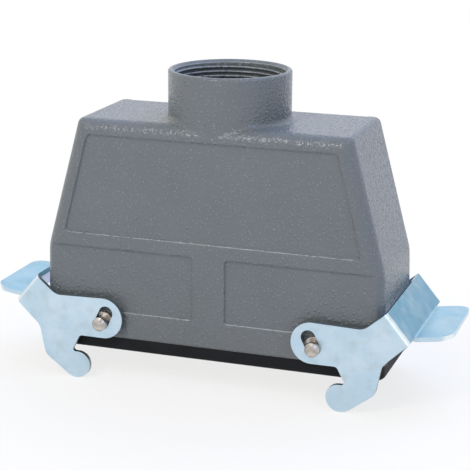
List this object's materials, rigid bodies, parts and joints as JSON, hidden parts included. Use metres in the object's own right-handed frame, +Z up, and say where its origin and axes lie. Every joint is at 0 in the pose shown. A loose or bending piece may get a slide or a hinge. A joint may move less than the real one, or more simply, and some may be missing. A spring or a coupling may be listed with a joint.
{
  "type": "rectangular cable connector hood",
  "caption": "Rectangular cable connector: a sloping metal hood with a round cable neck, a rubber gasket, a pin insert inside and a hooked locking lever at each end.",
  "frame": {"origin": "centre of the sealing face, the underside of the gasket", "axes": "+Z up along the cable neck's axis, X along the hood's length, -Y towards the front"},
  "size_m": [0.1626, 0.0544, 0.1065],
  "materials": {
    "hood_paint": "grey hammer-textured powder paint, satin",
    "gasket_rubber": "matt black moulded rubber",
    "lever_zinc": "zinc plated with a pale blue passivation, satin",
    "pin_steel": "turned bright steel",
    "insert_plastic": "light grey moulded polycarbonate",
    "contact_metal": "silver-plated copper alloy",
    "screw_steel": "zinc-plated steel",
    "earth_metal": "plated steel strip"
  },
  "bodies": {
    "hood": {"hood": "hood_paint", "gasket": "gasket_rubber", "insert_body": "insert_plastic", "contact_01": "contact_metal", "contact_02": "contact_metal", "contact_03": "contact_metal", "contact_04": "contact_metal", "contact_05": "contact_metal", "contact_06": "contact_metal", "contact_07": "contact_metal", "contact_08": "contact_metal", "contact_09": "contact_metal", "contact_10": "contact_metal", "contact_11": "contact_metal", "contact_12": "contact_metal", "contact_13": "contact_metal", "contact_14": "contact_metal", "contact_15": "contact_metal", "contact_16": "contact_metal", "contact_17": "contact_metal", "contact_18": "contact_metal", "contact_19": "contact_metal", "contact_20": "contact_metal", "contact_21": "contact_metal", "contact_22": "contact_metal", "contact_23": "contact_metal", "contact_24": "contact_metal", "wire_clamp_screws": "screw_steel", "insert_fixing_screws": "screw_steel", "earth_plate_left": "earth_metal", "earth_plate_right": "earth_metal", "earth_screws": "screw_steel"},
    "pins_left": {"lever_pin_front_left": "pin_steel", "lever_pin_rear_left": "pin_steel"},
    "pins_right": {"lever_pin_front_right": "pin_steel", "lever_pin_rear_right": "pin_steel"},
    "lever_left": {"lever_left": "lever_zinc"},
    "lever_right": {"lever_right": "lever_zinc"}
  },
  "joints": [
    {"name": "left_lever_turn", "type": "hinge", "parent": "hood", "child": "pins_left", "pos_m": [-0.0375, 0, 0.0101], "axis": [0, -1, 0], "range_deg": [0, 45]},
    {"name": "right_lever_turn", "type": "hinge", "parent": "hood", "child": "pins_right", "pos_m": [0.0375, 0, 0.0101], "axis": [0, 1, 0], "range_deg": [0, 45]},
    {"name": "left_lever_slide", "type": "slide", "parent": "pins_left", "child": "lever_left", "axis": [-0.4384, 0, -0.8988], "range_m": [0, 0.004]},
    {"name": "right_lever_slide", "type": "slide", "parent": "pins_right", "child": "lever_right", "axis": [0.4384, 0, -0.8988], "range_m": [0, 0.004]}
  ]
}
